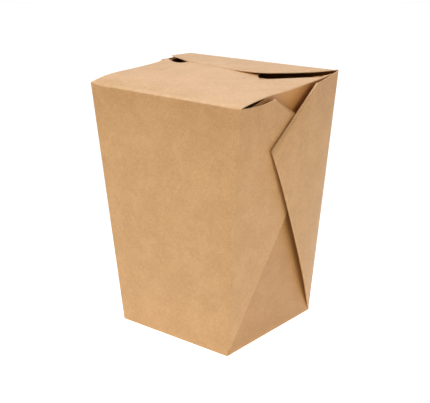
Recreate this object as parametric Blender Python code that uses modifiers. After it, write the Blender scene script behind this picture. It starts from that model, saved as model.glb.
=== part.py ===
"""A shut noodle takeaway carton, folded from one sheet of plain kraft board.

The square foot tapers out to a wider mouth. At each side wall the board left over at the two
corners is folded flat over the wall as a two-layer gusset, and the rear gusset laps the front
one. A front flap shuts the mouth, and its tongue is tucked under a short back flap.

The carton is shut, so it is one solid. Its origin is the middle of its foot, on the surface
that it stands on, with +Z up, the front panel at -Y and the side walls at -X and +X.
"""

from math import atan2, cos, pi, sin

import bmesh
import bpy

# Driving dimensions, in metres.
FOOT = 0.0700
MOUTH_WIDTH = 0.0944
MOUTH_DEPTH = 0.0775
CREASE_HEIGHT = 0.1293
BOARD = 0.00045
FOLD_RADIUS = 0.0010

# The shut lid: how far its middle stands above the creases.
FLAP_CROWN = 0.0016
TUCK_RISE = 0.0011
GAP_DEPTH = 0.0060
LID_ROOM = 0.0120
LID_CELLS = 14
LID_REACH = 0.0040

# Plan of the back flap: its straight front edge, and where each slanting end meets a side.
STRIP_FRONT = 0.0085
STRIP_HALF_FRONT = 0.0198
STRIP_LEFT_END = 0.0206
STRIP_RIGHT_END = 0.0372
STRIP_REACH = 0.0060
STRIP_RUN_ON = 0.0040

# Plan of the front flap: the roots of its tongue, and its shoulders, which run to the sides.
TONGUE_HALF_ROOT = 0.0232
TONGUE_ROOT = 0.0046
LEFT_SHOULDER_BEND = (-0.0365, 0.0109)
LEFT_SHOULDER_END = (-0.0452, 0.0165)
RIGHT_SHOULDER_END = (0.0423, 0.0296)
SIDE_RIM = 0.0013

# The left gap, as shares of the back flap's slanting left edge: where it starts and ends.
LEFT_GAP_START = 0.28
LEFT_GAP_END = 0.94

# Gussets, laid out on the side wall: across from its middle, then up its slope.
GUSSET_TIP = (0.0203, 0.1062)
GUSSET_TOP_INNER = 0.0156
GUSSET_TOP_DROP = 0.0008
GUSSET_INSET = 0.0010
GUSSET_SINK = 0.0002
GUSSET_CELLS = 8

# How far a gusset's outer face stands off the wall: at its tip, at the inner end of its top
# edge, and in a bulge along its fold. The front gusset is held down where the rear one laps it.
REAR_LIFT = (0.0026, 0.0026, 0.0026)
FRONT_LIFT = (0.0002, 0.0020, 0.0012)

WALL_RUN = (MOUTH_WIDTH - FOOT) / 2
WALL_LEAN = atan2(WALL_RUN, CREASE_HEIGHT)
WALL_SLOPE = CREASE_HEIGHT / cos(WALL_LEAN)
PANEL_RUN = (MOUTH_DEPTH - FOOT) / 2

FOLD_SEGMENTS = 3
SHARP_ANGLE = 0.6

KRAFT = (0.56, 0.33, 0.16, 1.0)
KRAFT_ROUGHNESS = 0.85
KRAFT_METALLIC = 0.0


def clear_scene():
    """Remove what the scene already holds."""
    for old in list(bpy.data.objects):
        bpy.data.objects.remove(old, do_unlink=True)


def new_collection(name):
    """Make a collection under the scene."""
    collection = bpy.data.collections.new(name)
    bpy.context.scene.collection.children.link(collection)
    return collection


def new_object(name, bm, collection):
    """Turn a finished bmesh into an object."""
    bmesh.ops.recalc_face_normals(bm, faces=bm.faces)
    mesh = bpy.data.meshes.new(name)
    bm.to_mesh(mesh)
    bm.free()
    shape = bpy.data.objects.new(name, mesh)
    collection.objects.link(shape)
    return shape


def new_cutter(name, bm, collection):
    """Make a shape that only cuts or joins another one."""
    cutter = new_object(name, bm, collection)
    cutter.display_type = "WIRE"
    cutter.hide_render = True
    return cutter


def add_boolean(shape, tool, operation):
    """Cut a shape with a tool, or join the two."""
    modifier = shape.modifiers.new(operation.lower() + "_" + tool.name, "BOOLEAN")
    modifier.operation = operation
    modifier.solver = "EXACT"
    modifier.object = tool


def kraft_material():
    """Plain brown kraft board, matt all over."""
    material = bpy.data.materials.new("kraft_board")
    material.use_nodes = True
    shader = material.node_tree.nodes["Principled BSDF"]
    shader.inputs["Base Color"].default_value = KRAFT
    shader.inputs["Roughness"].default_value = KRAFT_ROUGHNESS
    shader.inputs["Metallic"].default_value = KRAFT_METALLIC
    return material


def mouth_half(height):
    """Half the carton's width and half its depth at a height."""
    share = height / CREASE_HEIGHT
    return FOOT / 2 + WALL_RUN * share, FOOT / 2 + PANEL_RUN * share


def tapered_body():
    """The four walls and the foot, run on above the creases for the lid to be cut from."""
    height = CREASE_HEIGHT + LID_ROOM
    half_width, half_depth = mouth_half(height)
    bm = bmesh.new()
    bmesh.ops.create_cube(bm, size=1.0)
    for vert in bm.verts:
        top = vert.co.z > 0
        vert.co.x *= 2 * half_width if top else FOOT
        vert.co.y *= 2 * half_depth if top else FOOT
        vert.co.z = height if top else 0.0
    return bm


def arch(share):
    """A smooth hump: 0 at -1 and 1, and 1 in the middle."""
    return max(0.0, 1.0 - share * share)


def flap_height(x, y):
    """Top of the front flap: level with the creases at its edges, and crowned between."""
    back = min(1.0, (y + MOUTH_DEPTH / 2) / (STRIP_FRONT + MOUTH_DEPTH / 2))
    across = arch(x / (MOUTH_WIDTH / 2))
    return CREASE_HEIGHT + FLAP_CROWN * across * sin(pi / 2 * max(0.0, back))


def strip_height(x, y):
    """Top of the back flap: it climbs from the back crease and rides on the tongue."""
    front = min(1.0, max(0.0, (MOUTH_DEPTH / 2 - y) / (MOUTH_DEPTH / 2 - STRIP_FRONT)))
    across = arch(x / (MOUTH_WIDTH / 2))
    return CREASE_HEIGHT + BOARD + (FLAP_CROWN * across + TUCK_RISE) * front


def sheet_block(height_of):
    """A block whose underside follows a height, wide enough to cover the whole mouth."""
    bm = bmesh.new()
    reach = MOUTH_WIDTH / 2 + LID_REACH
    bmesh.ops.create_grid(bm, x_segments=LID_CELLS, y_segments=LID_CELLS, size=reach)
    sheet = list(bm.faces)
    for vert in bm.verts:
        vert.co.z = height_of(vert.co.x, vert.co.y)
    raised = bmesh.ops.extrude_face_region(bm, geom=sheet)["geom"]
    for item in raised:
        if isinstance(item, bmesh.types.BMVert):
            item.co.z = CREASE_HEIGHT + 2 * LID_ROOM
    return bm


def outline_prism(outline, low, high):
    """An upright prism over a flat outline."""
    bm = bmesh.new()
    floor = bm.faces.new([bm.verts.new((x, y, low)) for x, y in outline])
    raised = bmesh.ops.extrude_face_region(bm, geom=[floor])["geom"]
    for item in raised:
        if isinstance(item, bmesh.types.BMVert):
            item.co.z = high
    return bm


def strip_outline():
    """The back flap seen from above, run on past the back and the sides of the mouth."""
    side = MOUTH_WIDTH / 2
    out = side + STRIP_REACH
    back = MOUTH_DEPTH / 2 + STRIP_REACH
    return [
        (-STRIP_HALF_FRONT, STRIP_FRONT),
        (STRIP_HALF_FRONT, STRIP_FRONT),
        (side - SIDE_RIM, STRIP_RIGHT_END),
        (out, STRIP_RIGHT_END + STRIP_RUN_ON),
        (out, back),
        (-out, back),
        (-out, STRIP_LEFT_END),
        (-side, STRIP_LEFT_END),
    ]


def gap_outlines():
    """The two dark openings left between the flaps, seen from above."""
    side = MOUTH_WIDTH / 2
    right = [
        (STRIP_HALF_FRONT, STRIP_FRONT),
        (TONGUE_HALF_ROOT, TONGUE_ROOT),
        RIGHT_SHOULDER_END,
        (side - SIDE_RIM, STRIP_RIGHT_END),
    ]
    edge = ((-STRIP_HALF_FRONT, STRIP_FRONT), (-side, STRIP_LEFT_END))
    start = tuple(a + (b - a) * LEFT_GAP_START for a, b in zip(*edge))
    end = tuple(a + (b - a) * LEFT_GAP_END for a, b in zip(*edge))
    left = [start, end, LEFT_SHOULDER_END, LEFT_SHOULDER_BEND]
    return {"right_gap": right, "left_gap": left}


def wall_point(side, across, up, out):
    """A point given on a side wall: across it, up its slope and outwards from it."""
    x = FOOT / 2 + up * sin(WALL_LEAN) + out * cos(WALL_LEAN)
    z = up * cos(WALL_LEAN) - out * sin(WALL_LEAN)
    return side * x, across, z


def wall_normal(side):
    """The outward direction of a side wall."""
    return side * cos(WALL_LEAN), 0.0, -sin(WALL_LEAN)


def gusset_slab(side, end, lift):
    """One two-layer gusset: a thin slab hinged on a corner of the wall and standing off it.

    The slab has four corners: the foot of the carton's corner, the tip, the inner end of the
    top edge, and the top of the carton's corner. It starts just under the wall's face, so
    that it grows out of the wall.
    """
    top = WALL_SLOPE - GUSSET_TOP_DROP
    corner_foot = FOOT / 2 - GUSSET_INSET
    corner_top = MOUTH_DEPTH / 2 - GUSSET_INSET
    tip_across, tip_up = GUSSET_TIP
    tip_lift, top_lift, bulge = lift
    bm = bmesh.new()
    bmesh.ops.create_grid(bm, x_segments=GUSSET_CELLS, y_segments=GUSSET_CELLS, size=0.5)
    for vert in bm.verts:
        out = vert.co.x + 0.5
        rise = vert.co.y + 0.5
        hinge = corner_foot + (corner_top - corner_foot) * rise
        free = -tip_across + (GUSSET_TOP_INNER + tip_across) * rise
        across = hinge + (free - hinge) * out
        up = FOLD_RADIUS + (top - FOLD_RADIUS) * rise
        up += (tip_up + (top - tip_up) * rise - up) * out
        stand = (tip_lift + (top_lift - tip_lift) * rise + GUSSET_SINK) * out - GUSSET_SINK
        stand += bulge * arch(2 * out - 1) * (1 - rise)
        vert.co = wall_point(side, end * across, up, stand)
    bmesh.ops.recalc_face_normals(bm, faces=bm.faces)
    if sum(face.normal.x * side for face in bm.faces) < 0:
        bmesh.ops.reverse_faces(bm, faces=bm.faces)
    layer = bmesh.ops.extrude_face_region(bm, geom=list(bm.faces))["geom"]
    inner = [item for item in layer if isinstance(item, bmesh.types.BMVert)]
    into_wall = [-2 * BOARD * value for value in wall_normal(side)]
    bmesh.ops.translate(bm, verts=inner, vec=into_wall)
    return bm


def build():
    """Make the carton."""
    clear_scene()
    parts = new_collection("noodle_box")
    cutters = new_collection("cutters")

    carton = new_object("carton", tapered_body(), parts)
    carton.data.materials.append(kraft_material())
    bevel = carton.modifiers.new("folds", "BEVEL")
    bevel.width = FOLD_RADIUS
    bevel.segments = FOLD_SEGMENTS
    bevel.limit_method = "ANGLE"

    over_strip = new_cutter("over_strip", sheet_block(strip_height), cutters)
    over_flap = new_cutter("over_flap", sheet_block(flap_height), cutters)
    strip_zone = outline_prism(strip_outline(), 0.0, CREASE_HEIGHT + 3 * LID_ROOM)
    add_boolean(over_flap, new_cutter("strip_zone", strip_zone, cutters), "DIFFERENCE")
    add_boolean(carton, over_strip, "DIFFERENCE")
    add_boolean(carton, over_flap, "DIFFERENCE")

    for side, side_name in ((1, "right"), (-1, "left")):
        for end, end_name, lift in ((-1, "front", FRONT_LIFT), (1, "rear", REAR_LIFT)):
            slab = gusset_slab(side, end, lift)
            name = side_name + "_" + end_name + "_gusset"
            add_boolean(carton, new_cutter(name, slab, cutters), "UNION")

    floor = CREASE_HEIGHT - GAP_DEPTH
    for name, outline in gap_outlines().items():
        gap = outline_prism(outline, floor, CREASE_HEIGHT + LID_ROOM)
        add_boolean(carton, new_cutter(name, gap, cutters), "DIFFERENCE")

    carton.data.shade_smooth()
    carton.data.set_sharp_from_angle(angle=SHARP_ANGLE)


build()
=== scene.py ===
"""The looks of a shut noodle takeaway carton, folded from one sheet of plain kraft board.

The carton is modelled the way it is made: one sheet whose panels meet at rounded folds. The foot
and the front and back panels carry the flaps, and at each corner a two-layer gusset is folded
flat over the side wall. The rear gusset laps the front one. The front flap's tongue is tucked
under the back flap. Lengths are in millimetres until the sheet is finished, and the frame is the
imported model's: +Z up, the front panel at -Y, the gusseted walls at -X and +X.
"""

import logging
import math
from bisect import bisect_right
from dataclasses import dataclass, field
from enum import Enum
from typing import Any, Callable, Collection, Sequence

import bmesh
import bpy
from mathutils import Matrix, Vector


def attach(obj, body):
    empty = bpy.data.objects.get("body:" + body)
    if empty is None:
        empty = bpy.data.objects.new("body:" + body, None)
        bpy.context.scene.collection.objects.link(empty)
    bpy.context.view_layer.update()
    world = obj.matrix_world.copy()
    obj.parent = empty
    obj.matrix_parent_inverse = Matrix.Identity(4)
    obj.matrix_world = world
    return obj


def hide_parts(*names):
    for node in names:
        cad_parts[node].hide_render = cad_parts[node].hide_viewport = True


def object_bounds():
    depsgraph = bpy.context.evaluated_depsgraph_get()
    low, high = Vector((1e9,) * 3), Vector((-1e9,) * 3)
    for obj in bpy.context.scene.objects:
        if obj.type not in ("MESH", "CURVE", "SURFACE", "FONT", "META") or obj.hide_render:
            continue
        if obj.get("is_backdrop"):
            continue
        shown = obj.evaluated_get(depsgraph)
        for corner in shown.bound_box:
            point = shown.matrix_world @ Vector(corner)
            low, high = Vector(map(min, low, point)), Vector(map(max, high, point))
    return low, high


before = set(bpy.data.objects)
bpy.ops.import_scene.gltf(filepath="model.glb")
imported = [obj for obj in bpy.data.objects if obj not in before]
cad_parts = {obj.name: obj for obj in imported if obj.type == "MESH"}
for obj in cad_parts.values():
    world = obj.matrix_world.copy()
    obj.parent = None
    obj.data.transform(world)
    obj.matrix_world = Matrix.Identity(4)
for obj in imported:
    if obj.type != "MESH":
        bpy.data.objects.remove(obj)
CAD_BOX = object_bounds()

LOG = logging.getLogger("noodle_box")
NODE = "carton"
BODY = "root"
MM = 0.001

# How many cells each panel has across, up and front to back, and how far the second row of
# points stands from a corner fold or a crease, which sets how tightly it is rounded.
CELLS_ACROSS = 20
CELLS_UP = 14
CELLS_DEEP = 12
CELLS_GUSSET = 8
CELLS_STRIP = 8
FOLD_EDGE = 1.0
CREASE_EDGE = 0.35

# The heights over which the front and back panels and gussets get a painted shade towards their
# tops, and the side walls a painted warm bounce light towards theirs, each as a start and a reach.
TOP_SHADE_BAND = (98.0, 34.0)
BOUNCE_LIGHT_BAND = (98.0, 12.0)

# How pale the upright corners go, from scuffing and a painted highlight, beside the creases and
# the gussets' folds.
CORNER_WEAR_HIGHLIGHT = 0.6

# The share of a wall's rim, from either end, that is held by the gussets' folds.
FREE_FROM = 1.0 / 12.0

# How near two panels' points are when they are one point of the sheet, and the shortest edge.
WELD_REACH = 0.02
SHORTEST_EDGE = 0.0001

# The sheet's materials, by their place in its list after the outer face.
INSIDE = 1
CUT_EDGE = 2


class Side(Enum):
    """The two gusseted walls."""

    LEFT = -1
    RIGHT = 1


class End(Enum):
    """The two plain panels, which carry the flaps."""

    FRONT = -1
    BACK = 1


def mix(low: float, high: float, share: float) -> float:
    """Read a value between two others."""
    return low + (high - low) * share


def hump(share: float) -> float:
    """A smooth rise and fall: 0 at 0 and 1, and 1 in the middle."""
    return math.sin(math.pi * min(1.0, max(0.0, share)))


def hump_free(share: float) -> float:
    """None at 0 and 1, and full a little way in from them."""
    return min(1.0, share / FREE_FROM, (1.0 - share) / FREE_FROM)


def ease(share: float) -> float:
    """A smooth step from 0 to 1."""
    share = min(1.0, max(0.0, share))
    return share * share * (3.0 - 2.0 * share)


def come_in(place: float, band: tuple[float, float]) -> float:
    """A smooth step over a band, given as its start and its width."""
    return ease((place - band[0]) / band[1])


def ladder(
    index: int,
    cells: int,
    length: float,
    first: bool = True,
    last: bool = True,
    edge: float = FOLD_EDGE,
) -> float:
    """Space the points along an edge, with a narrow cell beside each fold.

    Args:
        index: The point, counted from 0.
        cells: How many cells the edge has.
        length: The edge's length.
        first: Whether a fold stands at the start.
        last: Whether a fold stands at the end.
        edge: The narrow cell's width.

    Returns:
        The point's place along the edge, from 0 to 1.
    """
    narrow = edge / length
    if index == 0 or index == cells:
        return index / cells
    low = narrow if first else 0.0
    high = 1.0 - narrow if last else 1.0
    start = 1 if first else 0
    stop = cells - 1 if last else cells
    return low + (high - low) * (index - start) / (stop - start)


@dataclass(frozen=True)
class Profile:
    """A smooth curve through a few named points."""

    knots: tuple[tuple[float, float], ...]

    def slope(self, index: int) -> float:
        """The curve's slope at a knot, from the knots on either side."""
        before = self.knots[max(0, index - 1)]
        after = self.knots[min(len(self.knots) - 1, index + 1)]
        return (after[1] - before[1]) / (after[0] - before[0])

    def at(self, place: float) -> float:
        """Read the curve.

        Args:
            place: Where along the curve to read it.

        Returns:
            The curve's value there, which stays level past its two ends.
        """
        knots = self.knots
        if place <= knots[0][0]:
            return knots[0][1]
        if place >= knots[-1][0]:
            return knots[-1][1]
        index = max(i for i, knot in enumerate(knots) if knot[0] <= place)
        low, high = knots[index], knots[index + 1]
        run = high[0] - low[0]
        t = (place - low[0]) / run
        value = (2 * t**3 - 3 * t**2 + 1) * low[1] + (3 * t**2 - 2 * t**3) * high[1]
        value += (t**3 - 2 * t**2 + t) * run * self.slope(index)
        value += (t**3 - t**2) * run * self.slope(index + 1)
        return value


@dataclass
class Form:
    """The shut carton's driving sizes, as it stands: its mouth is a little out of true."""

    foot: float = 70.0
    board: float = 0.45
    lean_back: float = 0.8
    mouth: dict[tuple[int, int], tuple[float, float, float]] = field(
        default_factory=lambda: {
            (-1, -1): (-47.2, -40.3, 127.05),
            (1, -1): (47.2, -40.0, 128.2),
            (1, 1): (47.2, 38.1, 132.05),
            (-1, 1): (-47.2, 36.5, 129.1),
        }
    )
    crease_arch: float = 0.2
    crease_dip: tuple[float, float] = (1.2, 0.45)
    dip_reach: float = 4.5
    panel_bulge: float = 0.7
    gusset_thick: float = 1.0
    corner_room: float = 3.0

    def __post_init__(self) -> None:
        """Work out the side walls' lean from the foot and the mouth."""
        width = sum(abs(corner[0]) for corner in self.mouth.values()) / 2
        height = sum(corner[2] for corner in self.mouth.values()) / 4
        self.run = (width - self.foot) / 2
        self.height = height
        self.lean = math.atan2(self.run, height)

    def foot_corner(self, side: int, end: int) -> Vector:
        """A corner of the foot."""
        return Vector((side * self.foot / 2, end * self.foot / 2 + self.lean_back, 0.0))

    def mouth_corner(self, side: int, end: int) -> Vector:
        """A corner of the mouth, where a panel's top crease starts."""
        x, y, z = self.mouth[(side, end)]
        return Vector((x, y + self.lean_back, z))

    def corner_edge(self, side: int, end: int, up: float) -> Vector:
        """A point on the fold between a panel and its gusset, from the foot to the mouth."""
        return self.foot_corner(side, end).lerp(self.mouth_corner(side, end), up)

    def corner_lift(self, across: float) -> float:
        """How far the front crease turns up towards its two corners."""
        width = self.mouth[(1, -1)][0] - self.mouth[(-1, -1)][0]
        inward = ease(min(across, 1.0 - across) * width / self.dip_reach)
        return mix(*self.crease_dip, across) * (1.0 - inward)

    def crease_line(self, across: float) -> float:
        """The height of the front crease without its turned-up corners."""
        low, high = self.mouth[(-1, -1)][2], self.mouth[(1, -1)][2]
        return mix(low, high, across) - mix(*self.crease_dip, across) + self.crease_arch * hump(across)

    def crease(self, end: int, across: float) -> Vector:
        """A point on the top crease of the front or back panel, from left to right."""
        point = self.mouth_corner(-1, end).lerp(self.mouth_corner(1, end), across)
        if end < 0:
            point.z = self.crease_line(across) + self.corner_lift(across)
        return point

    def slope(self, side: int) -> Vector:
        """The direction up a side wall, as long as it takes to rise by 1."""
        return Vector((side * math.tan(self.lean), 0.0, 1.0))

    def on_wall(self, side: int, across: float, up: float, out: float) -> Vector:
        """A point given on a side wall's outer plane.

        Args:
            side: The wall, -1 at left and 1 at right.
            across: The distance from the wall's middle towards the back.
            up: The distance up the wall's slope.
            out: The distance off the plane, outwards.

        Returns:
            The point.
        """
        x = self.foot / 2 + up * math.sin(self.lean) + out * math.cos(self.lean)
        z = up * math.cos(self.lean) - out * math.sin(self.lean)
        return Vector((side * x, across + self.lean_back, z))


class Sheet:
    """The folded sheet while it is being made."""

    def __init__(self) -> None:
        """Start with an empty mesh and layers that mark the folds' scuffing and painted highlight, the
        painted shade and bounce light, and the sharp corners.
        """
        self.mesh = bmesh.new()
        layers = self.mesh.verts.layers.float
        self.fold = layers.new("fold")
        self.grain_and_wall_shade = layers.new("grain_and_wall_shade")
        self.top_shade = layers.new("top_shade")
        self.bounce_light = layers.new("bounce_light")
        self.sharp = layers.new("crease_vert")

    def patch(
        self,
        columns: int,
        rows: int,
        place: Callable[[int, int], Vector],
        folded: Callable[[int, int], float],
        corners: Collection[tuple[int, int]] = (),
        grain_and_wall_shade: float = 0.0,
        top_shaded: bool = True,
    ) -> None:
        """Add one panel: a grid whose points are moved to their places.

        Args:
            columns: Cells along the panel's first direction.
            rows: Cells along its second direction.
            place: Gives a point from its column and row.
            folded: Says how much of a fold a point is, from 0 to 1.
            corners: The columns and rows of the points that stay sharp.
            grain_and_wall_shade: How much of a side wall it is, from 0 to 1: it gets a painted shade
                all over, and a painted warm bounce light towards its top, under the lid.
            top_shaded: Whether the panel gets a painted shade towards its top.
        """
        made = bmesh.ops.create_grid(self.mesh, x_segments=columns, y_segments=rows, size=0.5)
        for vert in made["verts"]:
            column = round((vert.co.x + 0.5) * columns)
            row = round((vert.co.y + 0.5) * rows)
            vert.co = place(column, row)
            vert[self.fold] = folded(column, row)
            # A side wall gets a painted shade all over.
            vert[self.grain_and_wall_shade] = grain_and_wall_shade
            # Painted shade: the front and back panels and the gussets go darker towards their tops.
            vert[self.top_shade] = come_in(vert.co.z, TOP_SHADE_BAND) if top_shaded else 0.0
            # Painted warm bounce light towards the side walls' tops, under the lid.
            vert[self.bounce_light] = grain_and_wall_shade * come_in(vert.co.z, BOUNCE_LIGHT_BAND)
            vert[self.sharp] = float((column, row) in corners)

    def weld(self) -> None:
        """Join the panels along their folds, with every face pointing out."""
        bmesh.ops.remove_doubles(self.mesh, verts=self.mesh.verts, dist=WELD_REACH)
        bmesh.ops.dissolve_degenerate(self.mesh, dist=SHORTEST_EDGE, edges=self.mesh.edges)
        bmesh.ops.recalc_face_normals(self.mesh, faces=self.mesh.faces)
        lowest = min(self.mesh.faces, key=lambda face: face.calc_center_median().z)
        if lowest.normal.z > 0:
            bmesh.ops.reverse_faces(self.mesh, faces=self.mesh.faces)


@dataclass
class Panels:
    """The foot, the front and back panels and the two side walls."""

    form: Form
    wall_bow: Profile = Profile(
        (
            (0, 0),
            (0.08, -0.1),
            (0.2, -0.4),
            (0.35, -0.8),
            (0.5, -0.6),
            (0.7, 0.4),
            (0.85, 1.2),
            (1, 1.2),
        )
    )
    bow_power: int = 2
    wall_tuck: float = 0.9
    # How pale the top crease goes, from scuffing and a painted highlight.
    crease_wear_highlight: float = 0.8
    rim_reach: int = 4
    left_rim: Profile = Profile(
        (
            (-40, 124.6),
            (-32, 126.0),
            (-24, 127.6),
            (-16, 128.1),
            (4, 128.0),
            (15, 128.3),
            (25, 128.9),
            (37, 128.5),
        )
    )
    right_rim: Profile = Profile(
        (
            (-40, 125.6),
            (-32, 126.6),
            (-24, 128.0),
            (-16, 129.75),
            (0, 129.85),
            (10, 129.85),
            (20, 129.65),
            (28, 130.0),
            (38, 130.9),
        )
    )

    def build(self, sheet: Sheet) -> None:
        """Add the five panels."""
        self.add_foot(sheet)
        for end in (-1, 1):
            self.add_panel(sheet, end)
        for side in (-1, 1):
            self.add_wall(sheet, side)

    def add_foot(self, sheet: Sheet) -> None:
        """Add the square foot."""
        foot = self.form.foot

        def place(column: int, row: int) -> Vector:
            """Find a point's place."""
            across = ladder(column, CELLS_ACROSS, foot)
            deep = ladder(row, CELLS_DEEP, foot)
            front = self.form.foot_corner(-1, -1).lerp(self.form.foot_corner(1, -1), across)
            back = self.form.foot_corner(-1, 1).lerp(self.form.foot_corner(1, 1), across)
            return front.lerp(back, deep)

        def folded(column: int, row: int) -> float:
            """Say how pale a point goes, from scuffing and a painted highlight."""
            return float(column in (0, CELLS_ACROSS) or row in (0, CELLS_DEEP))

        sheet.patch(CELLS_ACROSS, CELLS_DEEP, place, folded)

    def add_panel(self, sheet: Sheet, end: int) -> None:
        """Add the front or back panel, from the foot to its top crease."""
        form = self.form

        def place(column: int, row: int) -> Vector:
            """Find a point's place."""
            across = ladder(column, CELLS_ACROSS, form.foot)
            up = ladder(row, CELLS_UP, form.height, edge=CREASE_EDGE)
            low = form.foot_corner(-1, end).lerp(form.foot_corner(1, end), across)
            point = low.lerp(form.crease(end, across), up)
            point.y += end * form.panel_bulge * hump(across) * hump(up)
            return point

        def folded(column: int, row: int) -> float:
            """Say how pale a point goes, from scuffing and a painted highlight."""
            if row == CELLS_UP:
                return self.crease_wear_highlight
            return CORNER_WEAR_HIGHLIGHT * float(column in (0, CELLS_ACROSS) or row == 0)

        sheet.patch(CELLS_ACROSS, CELLS_UP, place, folded)

    def rim(self, side: int, across: float) -> float:
        """The height of a side wall's top rim, at a place from front to back."""
        return (self.left_rim if side < 0 else self.right_rim).at(across)

    def rim_drop(self, side: int, end: int) -> float:
        """How far a side wall's rim starts below a corner of the mouth."""
        corner = self.form.mouth_corner(side, end)
        return corner.z - self.rim(side, corner.y - self.form.lean_back)

    def wall_edge(self, side: int, end: int, up: float) -> Vector:
        """A point on the hidden fold between a side wall and the inner layer of a gusset."""
        form = self.form
        point = form.corner_edge(side, end, up)
        room = ease(up * form.height / form.corner_room)
        point.x -= side * form.gusset_thick * room
        point.y -= end * self.wall_tuck * room
        return point - form.slope(side) * self.rim_drop(side, end) * up**self.rim_reach

    def add_wall(self, sheet: Sheet, side: int) -> None:
        """Add a side wall, whose top rim ends just under the flaps."""
        form = self.form

        def place(column: int, row: int) -> Vector:
            """Find a point's place."""
            deep = ladder(column, CELLS_DEEP, form.foot)
            up = ladder(row, CELLS_UP, form.height, edge=CREASE_EDGE)
            point = self.wall_edge(side, -1, up).lerp(self.wall_edge(side, 1, up), deep)
            top = self.wall_edge(side, -1, 1.0).lerp(self.wall_edge(side, 1, 1.0), deep)
            rise = self.rim(side, top.y - form.lean_back) - top.z
            point.x -= side * self.wall_bow.at(up) * hump(deep) ** self.bow_power
            return point + form.slope(side) * rise * hump_free(deep) * up**self.rim_reach

        def folded(column: int, row: int) -> float:
            """Say how pale a point goes, from scuffing and a painted highlight."""
            return float(row == 0)

        sheet.patch(CELLS_DEEP, CELLS_UP, place, folded, grain_and_wall_shade=1.0, top_shaded=False)


@dataclass
class Gusset:
    """A corner's spare board, folded in two layers over the side wall.

    Its four corners on the wall are the carton's foot corner, the tip, the inner end of the top
    edge, and the carton's mouth corner. The fold between its layers runs from the foot corner
    to the tip.
    """

    form: Form
    panels: Panels
    side: Side
    end: End
    tip: tuple[float, float]
    top: tuple[float, float]
    fold_lift: Profile
    top_lift: Profile
    top_rise: Profile
    top_power: int = 3
    inner_dip: float = 1.2
    fold_reach: float = 0.45

    def flat_place(self, out: float, up: float) -> tuple[float, float]:
        """A point of the gusset laid out on the wall: across towards the back, and up."""
        end = self.end.value
        form = self.form
        mouth = form.mouth_corner(self.side.value, end)
        mouth_across = abs(mouth.y - form.lean_back)
        mouth_up = mouth.z / math.cos(form.lean)
        hinge_across = mix(form.foot / 2, mouth_across, up)
        hinge_up = mouth_up * up
        free_across = mix(-self.tip[0], self.top[0], up)
        free_up = mix(self.tip[1], self.top[1], up)
        across = mix(hinge_across, free_across, out)
        rise = mix(hinge_up, free_up, out) + self.top_rise.at(out) * up**self.top_power
        return end * across, rise

    def lift(self, out: float, up: float) -> float:
        """How far the outer layer stands off the wall's plane."""
        return mix(self.fold_lift.at(out), self.top_lift.at(out), up)

    def layer_gap(self, out: float, up: float) -> float:
        """How far the inner layer's face lies behind the outer one's, none at the foot corner."""
        form = self.form
        across, rise = self.flat_place(out, up)
        away = math.hypot(abs(across) - form.foot / 2, rise)
        return form.gusset_thick * ease(away / form.corner_room)

    def outer(self, out: float, up: float) -> Vector:
        """A point on the outer layer."""
        if out == 0.0:
            return self.form.corner_edge(self.side.value, self.end.value, up)
        across, rise = self.flat_place(out, up)
        return self.form.on_wall(self.side.value, across, rise, self.lift(out, up))

    def inner(self, out: float, up: float) -> Vector:
        """A point on the inner layer."""
        if out == 0.0:
            return self.panels.wall_edge(self.side.value, self.end.value, up)
        across, rise = self.flat_place(out, up)
        lift = self.lift(out, up) - self.layer_gap(out, up)
        drop = self.panels.rim_drop(self.side.value, self.end.value)
        rise -= (drop * (1 - out) + self.inner_dip * hump(out)) * up**self.panels.rim_reach
        point = self.form.on_wall(self.side.value, across, rise, lift)
        tuck = self.panels.wall_tuck * (1 - out) * ease(rise / self.form.corner_room)
        point.y -= self.end.value * tuck
        return point

    def turn(self, out: float) -> Vector:
        """A point on the very edge of the fold between the layers."""
        form = self.form
        across, rise = self.flat_place(out, 0.0)
        foot_across, foot_up = self.flat_place(0.0, 0.0)
        tip_across, tip_up = self.flat_place(1.0, 0.0)
        run = math.hypot(tip_across - foot_across, tip_up - foot_up)
        reach = self.fold_reach * self.layer_gap(out, 0.0) / form.gusset_thick
        across += reach * (tip_up - foot_up) / run * math.copysign(1.0, tip_across - foot_across)
        rise -= reach * abs(tip_across - foot_across) / run
        lift = self.lift(out, 0.0) - self.layer_gap(out, 0.0) / 2
        return form.on_wall(self.side.value, across, rise, lift)

    def build(self, sheet: Sheet) -> None:
        """Add both layers and the fold between them as one patch."""
        form = self.form
        length = 2.0 * self.tip[0] + form.foot / 2

        def place(column: int, row: int) -> Vector:
            """Find a point's place."""
            out = ladder(column, CELLS_GUSSET, length, last=False)
            if row <= CELLS_UP:
                return self.outer(out, ladder(CELLS_UP - row, CELLS_UP, form.height, edge=CREASE_EDGE))
            if row == CELLS_UP + 1:
                return self.turn(out) if column else self.outer(0.0, 0.0)
            return self.inner(out, ladder(row - CELLS_UP - 2, CELLS_UP, form.height, edge=CREASE_EDGE))

        def folded(column: int, row: int) -> float:
            """Say how pale a point goes, from scuffing and a painted highlight."""
            if row in (CELLS_UP, CELLS_UP + 1):
                return 1.0
            return CORNER_WEAR_HIGHLIGHT * float(column == 0 and row < CELLS_UP)

        sheet.patch(CELLS_GUSSET, 2 * CELLS_UP + 2, place, folded)


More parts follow.
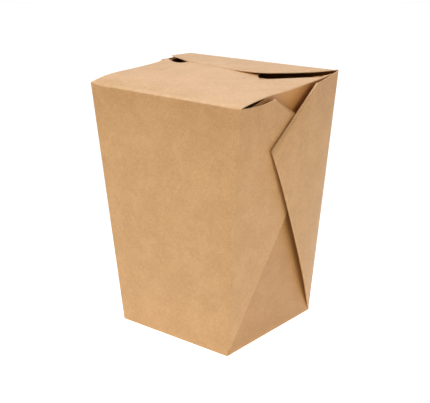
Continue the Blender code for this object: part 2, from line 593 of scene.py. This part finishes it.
@dataclass
class FrontFlap:
    """The flap that shuts the mouth, with a tongue in the middle and a horn at each side.

    Its side edges spring up at the crease and then lie along the side walls' rims. Its middle
    is crowned, and the tongue sinks where it goes under the back flap.
    """

    form: Form
    back_flap: "BackFlap"
    half_width: float = 46.6
    near_rows: tuple[float, ...] = (
        0.0,
        0.007,
        0.04,
        0.146,
        0.25,
        0.375,
        0.5,
        0.625,
        0.745,
        0.855,
        0.93,
        0.97,
        0.989,
        1.0,
    )
    far_rows: tuple[float, ...] = (0.07, 0.26, 0.6, 1.0)
    # How pale the rows by the crease go, from scuffing and a painted highlight.
    rubbed_highlight: tuple[float, ...] = (0.8, 1.0, 0.65)
    horn_end: float = 2.5
    outline: tuple[tuple[float, float], ...] = (
        (-46.6, 17.3),
        (-45.6, 16.2),
        (-43.2, 14.5),
        (-40.6, 12.9),
        (-35.3, 9.9),
        (-31.0, 10.4),
        (-28.3, 12.4),
        (-25.2, 15.5),
        (-19.5, 22.0),
        (-15.0, 22.2),
        (-8.0, 22.0),
        (0.0, 21.7),
        (8.0, 21.5),
        (14.0, 21.3),
        (18.5, 9.6),
        (22.0, 5.7),
        (25.6, 2.1),
        (30.4, 7.4),
        (37.5, 18.4),
        (44.2, 25.4),
        (46.8, 34.6),
    )
    sharp: tuple[int, ...] = (8, 13, 16, 19)
    left_rise: Profile = Profile(
        (
            (0, 0),
            (1.2, 0.55),
            (2.6, 1.3),
            (5.4, 2.3),
            (8.2, 2.69),
            (14, 3.17),
            (20, 3.11),
            (26, 2.98),
            (38, 2.86),
            (44, 2.84),
            (50, 3.03),
            (53, 3.32),
            (57.5, 3.76),
        )
    )
    right_rise: Profile = Profile(
        (
            (0, 0),
            (1.3, 0.5),
            (2.7, 0.95),
            (5.6, 1.6),
            (8.5, 1.88),
            (11.5, 2.07),
            (14.5, 2.22),
            (20.5, 2.53),
            (23.6, 2.59),
            (30, 2.36),
            (36, 2.18),
            (43, 2.27),
            (49, 2.46),
            (56, 2.63),
            (67, 2.85),
            (78, 3.8),
        )
    )
    middle_rise: Profile = Profile(
        (
            (0, 0),
            (1, 0.3),
            (3, 0.75),
            (7, 1.55),
            (14, 2.6),
            (25, 3.45),
            (38, 4.05),
            (48, 4.25),
            (53, 4.15),
            (61, 3.5),
        )
    )
    crown_power: int = 3
    corner_run: float = 5.0
    slack: float = 0.45
    slack_across: tuple[float, float] = (5.0, 12.0)
    slack_along: tuple[float, float] = (38.0, 9.0)
    crest: float = 0.45
    clearance: float = -0.15
    crest_run: float = 0.5
    sink_run: float = 9.0
    meet_left: tuple[float, float] = (-31.0, 5.0)
    meet_right: tuple[float, float] = (1.0, 9.0)
    meet_along: tuple[float, float] = (20.0, 20.0)

    def plain_height(self, x: float, y: float) -> float:
        """The flap's top face where nothing presses it."""
        width = self.form.mouth[(1, -1)][0] - self.form.mouth[(-1, -1)][0]
        across = (x - self.form.mouth[(-1, -1)][0]) / width
        away = y - self.form.mouth[(-1, -1)][1]
        middle = max(0.0, 1.0 - abs(x / self.half_width) ** self.crown_power)
        edge = self.left_rise if x < 0 else self.right_rise
        rise = middle * self.middle_rise.at(away) + (1.0 - middle) * edge.at(away)
        loose = come_in(x, self.slack_across) * come_in(away, self.slack_along)
        rise -= middle * self.slack * loose
        rise += self.form.corner_lift(across) * (1.0 - ease(away / self.corner_run))
        return self.form.crease_line(across) + rise

    def height(self, x: float, y: float) -> float:
        """The flap's top face, which comes up to meet the back flap's edge and dips under it."""
        press_y, press_z = self.back_flap.edge(x)
        away = y - self.form.mouth[(-1, -1)][1]
        gap = press_z - self.plain_height(x, press_y)
        past = y - press_y
        if past < 0:
            drop = (self.crest + self.clearance) * ease(past / self.crest_run + 1.0)
            meet = gap + self.crest - drop
        else:
            meet = (gap - self.clearance) * (1.0 - ease(past / self.sink_run))
        spread = come_in(x, self.meet_left) * (1.0 - come_in(x, self.meet_right))
        return self.plain_height(x, y) + meet * spread * come_in(away, self.meet_along)

    def build(self, sheet: Sheet) -> None:
        """Add the flap, hinged on the front panel's top crease."""
        form = self.form

        def place(column: int, row: int) -> Vector:
            """Find a point's place."""
            across = ladder(column, CELLS_ACROSS, form.foot)
            crease = form.crease(-1, across)
            if row == 0:
                return crease
            back_x, back_y = self.outline[column]
            front_x = max(-self.half_width, min(self.outline[-1][0], crease.x))
            front_y = crease.y - form.lean_back
            knee_y = min(self.back_flap.edge(back_x)[0], back_y - self.horn_end)
            knee = (knee_y - front_y) / (back_y - front_y)
            last = len(self.near_rows) - 1
            if row <= last:
                along = knee * self.near_rows[row]
            else:
                along = mix(knee, 1.0, self.far_rows[row - last - 1])
            x = mix(front_x, back_x, along)
            y = mix(front_y, back_y, along)
            return Vector((x, y + form.lean_back, self.height(x, y)))

        def folded(column: int, row: int) -> float:
            """Say how pale a point goes, from scuffing and a painted highlight."""
            return self.rubbed_highlight[row] if row < len(self.rubbed_highlight) else 0.0

        cells = len(self.near_rows) + len(self.far_rows) - 1
        sharp = [(column, cells) for column in self.sharp]
        sheet.patch(CELLS_ACROSS, cells, place, folded, sharp, top_shaded=False)


@dataclass
class BackFlap:
    """The short flap that holds the tongue down."""

    form: Form
    crown: float = 0.25
    depth: float = 30.0
    outline: tuple[tuple[float, float, float], ...] = (
        (-46.6, 20.3, 130.1),
        (-44.9, 18.6, 130.2),
        (-41.3, 17.3, 130.4),
        (-36.2, 14.7, 130.8),
        (-31.3, 12.2, 131.1),
        (-26.8, 10.2, 131.3),
        (-25.2, 9.9, 131.3),
        (-21.0, 9.5, 131.25),
        (-12.9, 8.9, 131.2),
        (-4.1, 8.4, 131.3),
        (3.0, 8.35, 131.4),
        (8.4, 8.4, 131.5),
        (13.5, 8.6, 131.7),
        (18.3, 8.5, 132.05),
        (23.4, 10.8, 131.9),
        (27.9, 15.7, 131.75),
        (33.4, 22.0, 131.5),
        (39.0, 28.3, 131.47),
        (43.2, 33.8, 131.6),
        (45.6, 36.6, 131.95),
        (46.9, 37.8, 132.05),
    )
    sharp: tuple[int, ...] = (6, 13)

    def edge(self, x: float) -> tuple[float, float]:
        """Where the flap's free edge lies, front to back, and the height of its underside."""
        places = [place[0] for place in self.outline]
        index = min(len(places) - 2, max(0, bisect_right(places, x) - 1))
        low, high = self.outline[index], self.outline[index + 1]
        share = min(1.0, max(0.0, (x - low[0]) / (high[0] - low[0])))
        return mix(low[1], high[1], share), mix(low[2], high[2], share)

    def build(self, sheet: Sheet) -> None:
        """Add the flap, hinged on the back panel's top crease."""
        form = self.form

        def place(column: int, row: int) -> Vector:
            """Find a point's place."""
            across = ladder(column, CELLS_ACROSS, form.foot)
            along = ladder(row, CELLS_STRIP, self.depth, last=False)
            x, y, underside = self.outline[column]
            edge = Vector((x, y + form.lean_back, underside + form.board))
            point = form.crease(1, across).lerp(edge, along)
            point.z += self.crown * hump(along) * hump(across)
            return point

        def folded(column: int, row: int) -> float:
            """Say how pale a point goes, from scuffing and a painted highlight."""
            return float(row == 0)

        sharp = [(column, CELLS_STRIP) for column in self.sharp]
        sheet.patch(CELLS_ACROSS, CELLS_STRIP, place, folded, sharp, top_shaded=False)


class Sock:
    """A shader socket that takes part in Python arithmetic."""

    def __init__(self, shader: "Shader", socket: bpy.types.NodeSocket) -> None:
        """Wrap a node's output."""
        self.shader = shader
        self.socket = socket

    def maths(self, operation: str, *values: Any) -> "Sock":
        """Add a Math node on this value and others."""
        inputs = dict(enumerate((self, *values)))
        return self.shader.node("ShaderNodeMath", {"operation": operation}, inputs)

    def __add__(self, other: Any) -> "Sock":
        """Add."""
        return self.maths("ADD", other)

    def __radd__(self, other: Any) -> "Sock":
        """Add from the right."""
        return self.maths("ADD", other)

    def __sub__(self, other: Any) -> "Sock":
        """Subtract."""
        return self.maths("SUBTRACT", other)

    def __rsub__(self, other: Any) -> "Sock":
        """Subtract this from a value."""
        return self.shader.node("ShaderNodeMath", {"operation": "SUBTRACT"}, {0: other, 1: self})

    def __mul__(self, other: Any) -> "Sock":
        """Multiply."""
        return self.maths("MULTIPLY", other)

    def __rmul__(self, other: Any) -> "Sock":
        """Multiply from the right."""
        return self.maths("MULTIPLY", other)

    def ramp(self, low: float, high: float, to_low: float = 0.0, to_high: float = 1.0) -> "Sock":
        """Stretch a range of values to another, smoothly and clamped.

        Args:
            low: The value that becomes to_low.
            high: The value that becomes to_high.
            to_low: The result at low.
            to_high: The result at high.

        Returns:
            The stretched value.
        """
        settings = {"interpolation_type": "SMOOTHSTEP", "clamp": True}
        inputs = {
            "Value": self,
            "From Min": low,
            "From Max": high,
            "To Min": to_low,
            "To Max": to_high,
        }
        return self.shader.node("ShaderNodeMapRange", settings, inputs)


class Shader:
    """A material's node tree under construction."""

    def __init__(self, name: str) -> None:
        """Start a material with its Principled BSDF."""
        self.material = bpy.data.materials.new(name)
        self.material.use_nodes = True
        self.tree = self.material.node_tree
        self.surface = self.tree.nodes["Principled BSDF"]

    def node(
        self,
        kind: str,
        settings: dict[str, Any] | None = None,
        inputs: dict[Any, Any] | None = None,
        output: int | str = 0,
    ) -> Sock:
        """Add a node.

        Args:
            kind: The node's type.
            settings: Properties, set before the sockets.
            inputs: Values or links for its input sockets, by name or number.
            output: The output socket to return.

        Returns:
            The chosen output.
        """
        node = self.tree.nodes.new(kind)
        for key, value in (settings or {}).items():
            setattr(node, key, value)
        for key, value in (inputs or {}).items():
            self.feed(node.inputs[key], value)
        return Sock(self, node.outputs[output])

    def feed(self, socket: bpy.types.NodeSocket, value: Any) -> None:
        """Link or set an input socket."""
        if isinstance(value, Sock):
            self.tree.links.new(value.socket, socket)
        else:
            socket.default_value = value

    def mix_colour(self, share: Any, low: Any, high: Any, blend: str = "MIX") -> Sock:
        """Mix two colours.

        Args:
            share: How much of the second colour.
            low: The first colour.
            high: The second colour.
            blend: The blend type.

        Returns:
            The mixed colour.
        """
        settings = {"data_type": "RGBA", "blend_type": blend, "clamp_factor": True}
        return self.node("ShaderNodeMix", settings, {0: share, 6: low, 7: high}, 2)

    def tint(self, colour: Any, tone: Any) -> Sock:
        """Multiply two colours."""
        return self.mix_colour(1.0, colour, tone, "MULTIPLY")

    def grey(self, value: Sock) -> Sock:
        """Turn a value into a grey colour."""
        return self.node("ShaderNodeCombineColor", {}, {0: value, 1: value, 2: value})

    def attribute(self, name: str) -> Sock:
        """Read one of the sheet's layers."""
        return self.node("ShaderNodeAttribute", {"attribute_name": name}, output="Fac")

    def noise(self, place: Sock, scale: float, detail: float = 2.0, rough: float = 0.5) -> Sock:
        """A noise value with a feature size, in features for each metre."""
        inputs = {"Vector": place, "Scale": scale, "Detail": detail, "Roughness": rough}
        return self.node("ShaderNodeTexNoise", {"noise_dimensions": "3D"}, inputs)

    def turned(self, place: Sock, turn: Sequence[float], stretch: Sequence[float]) -> Sock:
        """Turn and stretch a pattern's coordinates."""
        inputs = {"Vector": place, "Rotation": tuple(turn), "Scale": tuple(stretch)}
        return self.node("ShaderNodeMapping", {"vector_type": "POINT"}, inputs)


def srgb(red: int, green: int, blue: int) -> tuple[float, float, float, float]:
    """Turn a screen colour into a linear one."""

    def linear(value: int) -> float:
        """Turn one channel."""
        share = value / 255.0
        if share <= 0.04045:
            return share / 12.92
        return ((share + 0.055) / 1.055) ** 2.4

    return linear(red), linear(green), linear(blue), 1.0


@dataclass(frozen=True)
class KraftFinish:
    """Uncoated brown kraft: cloudy pulp, short fibres lying every way, scuffed folds with a painted
    highlight, painted shade and bounce light.
    """

    name: str = "kraft_face"
    pulp: tuple[float, float, float, float] = srgb(206, 157, 100)
    cloud: tuple[float, float, float, float] = srgb(198, 149, 91)
    pale_fibre: tuple[float, float, float, float] = srgb(222, 180, 128)
    dark_fibre: tuple[float, float, float, float] = srgb(168, 116, 64)
    # Paler colour for folds: partly scuffing, partly a painted highlight.
    rubbed_highlight: tuple[float, float, float, float] = srgb(232, 194, 146)
    # Painted shade for the side walls.
    wall_shade_tint: tuple[float, float, float, float] = srgb(240, 233, 218)
    # Painted warm bounce light for the side walls' tops, with its share below.
    bounce_tint: tuple[float, float, float, float] = srgb(217, 155, 91)
    bounce_share: float = 0.75
    # Painted shade for the tops of the front and back panels and the gussets.
    top_shade: tuple[float, float, float, float] = srgb(242, 237, 232)
    cloud_noise: tuple[float, ...] = (90.0, 4.0, 0.65)
    cloud_band: tuple[float, float] = (0.35, 0.65)
    grain_noise: tuple[float, ...] = (800.0, 2.0, 0.5)
    grain_band: tuple[float, float] = (0.3, 0.7)
    grain_shade: tuple[float, float] = (0.962, 1.038)
    pale_scale: float = 420.0
    pale_band: tuple[float, float] = (0.60, 0.72)
    pale_share: float = 0.32
    dark_turn: tuple[float, float, float] = (1.0, 1.0, 1.0)
    dark_scale: float = 330.0
    dark_band: tuple[float, float] = (0.66, 0.75)
    dark_share: float = 0.30
    rub_highlight_share: float = 0.5
    wear_noise: tuple[float, ...] = (260.0, 3.0)
    wear_patches: tuple[float, float, float, float] = (0.35, 0.7, 0.35, 1.0)
    wear_highlight_band: tuple[float, float] = (0.35, 1.0)
    gloss_band: tuple[float, float] = (0.2, 0.8)
    roughness: tuple[float, float] = (0.5, 0.4)
    specular: float = 0.5
    relief: float = 0.22
    relief_depth: float = 0.0002
    relief_shares: tuple[float, float, float] = (0.6, 0.5, 0.5)
    fibre_turns: tuple[tuple[float, float, float], ...] = (
        (0.3, 0.2, 0.5),
        (1.2, 0.7, 2.1),
        (2.2, 1.5, 0.9),
        (0.8, 2.4, 1.6),
    )
    fibre_stretch: tuple[float, float, float] = (1.0, 9.0, 9.0)

    def fibres(self, shader: Shader, place: Sock, scale: float, low: float, high: float) -> Sock:
        """Short streaks that lie in several directions.

        Args:
            shader: The material being built.
            place: The coordinates.
            scale: Streaks for each metre, lengthwise.
            low: The noise value where a streak starts.
            high: The noise value where it is full.

        Returns:
            The streaks' strength, from 0 to 1.
        """
        total = None
        for turn in self.fibre_turns:
            along = shader.turned(place, turn, self.fibre_stretch)
            streak = shader.noise(along, scale, 1.0).ramp(low, high)
            total = streak if total is None else total.maths("MAXIMUM", streak)
        return total

    def make(self) -> bpy.types.Material:
        """Build the material."""
        shader = Shader(self.name)
        place = shader.node("ShaderNodeTexCoord", output="Object")
        clouds = shader.noise(place, *self.cloud_noise).ramp(*self.cloud_band)
        grain_and_wall_shade = shader.noise(place, *self.grain_noise)
        pale = self.fibres(shader, place, self.pale_scale, *self.pale_band)
        turned = shader.turned(place, self.dark_turn, (1.0, 1.0, 1.0))
        dark = self.fibres(shader, turned, self.dark_scale, *self.dark_band)
        colour = self.add_wear_and_light(shader, place, self.mottled(shader, clouds, pale, dark, grain_and_wall_shade))
        grain_relief, fibre_relief, cloud_relief = self.relief_shares
        height = grain_and_wall_shade * grain_relief + pale * fibre_relief + clouds * cloud_relief
        bump_inputs = {"Height": height, "Strength": self.relief, "Distance": self.relief_depth}
        surface = shader.surface.inputs
        shader.feed(surface["Base Color"], colour)
        shader.feed(surface["Roughness"], grain_and_wall_shade.ramp(*self.gloss_band, *self.roughness))
        shader.feed(surface["Normal"], shader.node("ShaderNodeBump", {}, bump_inputs))
        surface["Specular IOR Level"].default_value = self.specular
        surface["Metallic"].default_value = 0.0
        return shader.material

    def mottled(self, shader: Shader, clouds: Sock, pale: Sock, dark: Sock, grain_and_wall_shade: Sock) -> Sock:
        """Colour the unworn board.

        Args:
            shader: The material being built.
            clouds: Where the pulp is cloudy.
            pale: The pale fibres.
            dark: The dark fibres.
            grain_and_wall_shade: The fine noise of the board's face.

        Returns:
            The colour.
        """
        colour = shader.mix_colour(clouds, self.pulp, self.cloud)
        colour = shader.mix_colour(pale * self.pale_share, colour, self.pale_fibre)
        colour = shader.mix_colour(dark * self.dark_share, colour, self.dark_fibre)
        return shader.tint(colour, shader.grey(grain_and_wall_shade.ramp(*self.grain_band, *self.grain_shade)))

    def add_wear_and_light(self, shader: Shader, place: Sock, colour: Sock) -> Sock:
        """Add painted shade on the side walls and the other walls' tops, painted bounce light, and
        pale folds from scuffing and a painted highlight.

        Args:
            shader: The material being built.
            place: The coordinates.
            colour: The unworn board's colour.

        Returns:
            The worn board's colour.
        """
        # Painted shade over the side walls.
        wall_shaded = shader.tint(colour, self.wall_shade_tint)
        colour = shader.mix_colour(shader.attribute("grain_and_wall_shade"), colour, wall_shaded)
        # Painted warm bounce light towards the side walls' tops.
        bounce_light = shader.attribute("bounce_light") * self.bounce_share
        colour = shader.mix_colour(bounce_light, colour, self.bounce_tint)
        # Painted shade, darker towards the tops of the front and back panels and the gussets.
        top_shaded = shader.tint(colour, self.top_shade)
        colour = shader.mix_colour(shader.attribute("top_shade"), colour, top_shaded)
        # Folds go paler: partly scuffing, partly a painted highlight.
        patchy = shader.noise(place, *self.wear_noise).ramp(*self.wear_patches)
        wear_and_highlight = shader.attribute("fold").ramp(*self.wear_highlight_band) * patchy
        return shader.mix_colour(wear_and_highlight * self.rub_highlight_share, colour, self.rubbed_highlight)


@dataclass(frozen=True)
class InsideFinish:
    """The board's inner face, matt and a little darker than the outer one."""

    name: str = "kraft_inside"
    pulp: tuple[float, float, float, float] = srgb(186, 132, 76)
    cloud: tuple[float, float, float, float] = srgb(178, 124, 68)
    cloud_noise: tuple[float, ...] = (90.0, 4.0, 0.55)
    cloud_band: tuple[float, float] = (0.35, 0.65)
    roughness: float = 0.9
    specular: float = 0.1

    def make(self) -> bpy.types.Material:
        """Build the material."""
        shader = Shader(self.name)
        place = shader.node("ShaderNodeTexCoord", output="Object")
        clouds = shader.noise(place, *self.cloud_noise).ramp(*self.cloud_band)
        surface = shader.surface.inputs
        shader.feed(surface["Base Color"], shader.mix_colour(clouds, self.pulp, self.cloud))
        surface["Roughness"].default_value = self.roughness
        surface["Specular IOR Level"].default_value = self.specular
        surface["Metallic"].default_value = 0.0
        return shader.material


@dataclass(frozen=True)
class CutEdgeFinish:
    """The board's cut edge, where the paler pulp inside shows."""

    name: str = "kraft_cut_edge"
    pulp: tuple[float, float, float, float] = srgb(236, 200, 156)
    shade: tuple[float, float, float, float] = srgb(214, 172, 124)
    torn_noise: tuple[float, ...] = (1500.0, 3.0, 0.6)
    torn_band: tuple[float, float] = (0.35, 0.65)
    roughness: float = 0.85

    def make(self) -> bpy.types.Material:
        """Build the material."""
        shader = Shader(self.name)
        place = shader.node("ShaderNodeTexCoord", output="Object")
        torn = shader.noise(place, *self.torn_noise).ramp(*self.torn_band)
        surface = shader.surface.inputs
        shader.feed(surface["Base Color"], shader.mix_colour(torn, self.pulp, self.shade))
        surface["Roughness"].default_value = self.roughness
        surface["Metallic"].default_value = 0.0
        return shader.material


@dataclass
class Carton:
    """The whole folded sheet."""

    form: Form
    levels: int = 2

    def sheet(self) -> Sheet:
        """Lay out every panel and weld them at their folds."""
        sheet = Sheet()
        panels = Panels(self.form)
        panels.build(sheet)
        for side in Side:
            self.front_gusset(panels, side).build(sheet)
            self.rear_gusset(panels, side).build(sheet)
        back_flap = BackFlap(self.form)
        back_flap.build(sheet)
        FrontFlap(self.form, back_flap).build(sheet)
        sheet.weld()
        return sheet

    def front_gusset(self, panels: Panels, side: Side) -> Gusset:
        """The front gusset, pressed down where the rear one laps it."""
        return Gusset(
            self.form,
            panels,
            side,
            End.FRONT,
            tip=(24.5, 104.5),
            top=(16.2, 129.2 if side is Side.RIGHT else 127.9),
            fold_lift=Profile(
                ((0, 0), (0.15, 0.1), (0.23, 0.34), (0.33, 0.62), (0.44, 1.0), (0.63, 1.35), (1, 0.2))
            ),
            top_lift=Profile(((0, 0), (0.5, 1.0), (1, 2.0))),
            top_rise=Profile(
                ((0, 0), (0.2, -0.65), (0.45, -0.95), (0.65, -1.02), (0.82, -0.6), (1, -0.1))
            ),
        )

    def rear_gusset(self, panels: Panels, side: Side) -> Gusset:
        """The rear gusset, which laps the front one and springs off the wall."""
        return Gusset(
            self.form,
            panels,
            side,
            End.BACK,
            tip=(16.8, 104.1),
            top=(15.8, 130.9 if side is Side.RIGHT else 129.45),
            fold_lift=Profile(
                (
                    (0, 0),
                    (0.07, 1.6),
                    (0.14, 2.6),
                    (0.25, 3.4),
                    (0.45, 4.0),
                    (0.66, 4.25),
                    (0.78, 4.3),
                    (0.89, 3.95),
                    (1, 3.0),
                )
            ),
            top_lift=Profile(((0, 0), (0.5, 1.5), (1, 2.9))),
            top_rise=Profile(((0, 0), (0.5, -0.3), (1, 0))),
        )

    def build(self) -> bpy.types.Object:
        """Make the carton as one piece.

        Returns:
            The finished piece, on its body.
        """
        sheet = self.sheet()
        bmesh.ops.scale(sheet.mesh, vec=(MM, MM, MM), verts=sheet.mesh.verts)
        mesh = bpy.data.meshes.new("carton_sheet")
        sheet.mesh.to_mesh(mesh)
        sheet.mesh.free()
        mesh.shade_smooth()
        for finish in (KraftFinish(), InsideFinish(), CutEdgeFinish()):
            mesh.materials.append(finish.make())
        piece = bpy.data.objects.new("carton_sheet", mesh)
        bpy.context.scene.collection.objects.link(piece)
        smooth = piece.modifiers.new("rounded_folds", "SUBSURF")
        smooth.levels = self.levels
        smooth.render_levels = self.levels
        smooth.boundary_smooth = "PRESERVE_CORNERS"
        board = piece.modifiers.new("board", "SOLIDIFY")
        board.thickness = self.form.board * MM
        board.offset = -1.0
        board.use_rim = True
        board.material_offset = INSIDE
        board.material_offset_rim = CUT_EDGE
        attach(piece, BODY)
        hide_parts(NODE)
        LOG.info("%s: %d cage faces", piece.name, len(mesh.polygons))
        return piece


@dataclass(frozen=True)
class SoftLight:
    """A square soft light that faces the carton."""

    name: str
    place: tuple[float, float, float]
    size: float
    power: float
    aim: tuple[float, float, float] = (0.0, 0.0, 0.06)

    def build(self) -> None:
        """Hang the light."""
        data = bpy.data.lights.new(self.name, "AREA")
        data.size = self.size
        data.energy = self.power
        light = bpy.data.objects.new(self.name, data)
        light.location = self.place
        light.rotation_mode = "QUATERNION"
        light.rotation_quaternion = (Vector(self.aim) - light.location).to_track_quat("-Z", "Y")
        bpy.context.scene.collection.objects.link(light)


@dataclass
class Studio:
    """A pale floor, soft lights and the camera."""

    floor_half: float = 3.0
    floor_drop: float = 0.0002
    floor_shade: float = 0.45
    floor_light: float = 0.66
    floor_glow: float = 0.36
    glow_near: float = 0.03
    glow_far: float = 0.22
    sky_light: float = 0.0
    azimuth: float = math.radians(39.38)
    elevation: float = math.radians(19.40)
    roll: float = math.radians(-0.32)
    distance: float = 0.5676
    aim: tuple[float, float, float] = (0.0, -0.00034, 0.06392)
    lens: float = 92.5
    sensor: float = 36.0
    lights: tuple[SoftLight, ...] = (
        SoftLight("overhead", (0.0, 0.0, 1.1), 1.2, 6.3),
        SoftLight("high_front", (-0.25, -0.5, 1.0), 0.8, 4.14),
        SoftLight("left_front", (-0.7, -1.0, 0.6), 0.8, 5.22),
        SoftLight("right_side", (1.25, -0.2, 0.6), 0.8, 6.62),
        SoftLight("low_back", (-0.8, 1.0, 0.55), 1.0, 1.86),
        SoftLight("high_back", (-0.6, 0.75, 0.85), 0.7, 3.82),
    )

    def build(self) -> None:
        """Make everything that isn't part of the carton."""
        self.add_floor()
        self.add_world()
        for light in self.lights:
            light.build()
        self.add_camera()

    def add_floor(self) -> None:
        """Lay the pale floor, which glows a little round the carton as a light table does."""
        mesh = bmesh.new()
        bmesh.ops.create_grid(mesh, x_segments=1, y_segments=1, size=self.floor_half)
        bmesh.ops.translate(mesh, verts=mesh.verts, vec=(0.0, 0.0, -self.floor_drop))
        data = bpy.data.meshes.new("floor")
        mesh.to_mesh(data)
        mesh.free()
        shader = Shader("pale_floor")
        surface = shader.surface.inputs
        surface["Base Color"].default_value = (self.floor_shade,) * 3 + (1.0,)
        surface["Roughness"].default_value = 1.0
        surface["Specular IOR Level"].default_value = 0.0
        place = shader.node("ShaderNodeTexCoord", output="Object")
        away = shader.node("ShaderNodeVectorMath", {"operation": "LENGTH"}, {0: place}, "Value")
        full = self.floor_light + self.floor_glow
        light = away.ramp(self.glow_near, self.glow_far, 1.0, self.floor_light / full)
        shader.feed(surface["Emission Color"], shader.grey(light))
        surface["Emission Strength"].default_value = full
        data.materials.append(shader.material)
        floor = bpy.data.objects.new("floor", data)
        bpy.context.scene.collection.objects.link(floor)
        floor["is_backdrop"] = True

    def add_world(self) -> None:
        """Set a plain white world of strength sky_light, and the Standard view transform."""
        world = bpy.data.worlds.new("studio")
        world.use_nodes = True
        background = world.node_tree.nodes["Background"]
        background.inputs["Color"].default_value = (1.0, 1.0, 1.0, 1.0)
        background.inputs["Strength"].default_value = self.sky_light
        bpy.context.scene.world = world
        bpy.context.scene.view_settings.view_transform = "Standard"

    def add_camera(self) -> None:
        """Place the camera."""
        data = bpy.data.cameras.new("camera")
        data.lens = self.lens
        data.sensor_width = self.sensor
        camera = bpy.data.objects.new("camera", data)
        level = math.cos(self.elevation)
        right, near = math.sin(self.azimuth) * level, math.cos(self.azimuth) * level
        back = Vector((right, -near, math.sin(self.elevation)))
        turn = (-back).to_track_quat("-Z", "Y").to_matrix()
        camera.matrix_world = Matrix.Translation(Vector(self.aim) + back * self.distance) @ (
            turn @ Matrix.Rotation(self.roll, 3, "Z")
        ).to_4x4()
        bpy.context.scene.collection.objects.link(camera)
        bpy.context.scene.camera = camera


def write_sizes() -> None:
    """Work out the CAD model's box and the visual model's box."""
    boxes = {"cad": CAD_BOX, "visual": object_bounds()}
    boxes = {name: [list(corner) for corner in box] for name, box in boxes.items()}


def main() -> None:
    """Build the carton and the studio."""
    logging.basicConfig(level=logging.INFO, format="%(message)s")
    Carton(Form()).build()
    Studio().build()
    write_sizes()


if __name__ == "__main__":
    main()
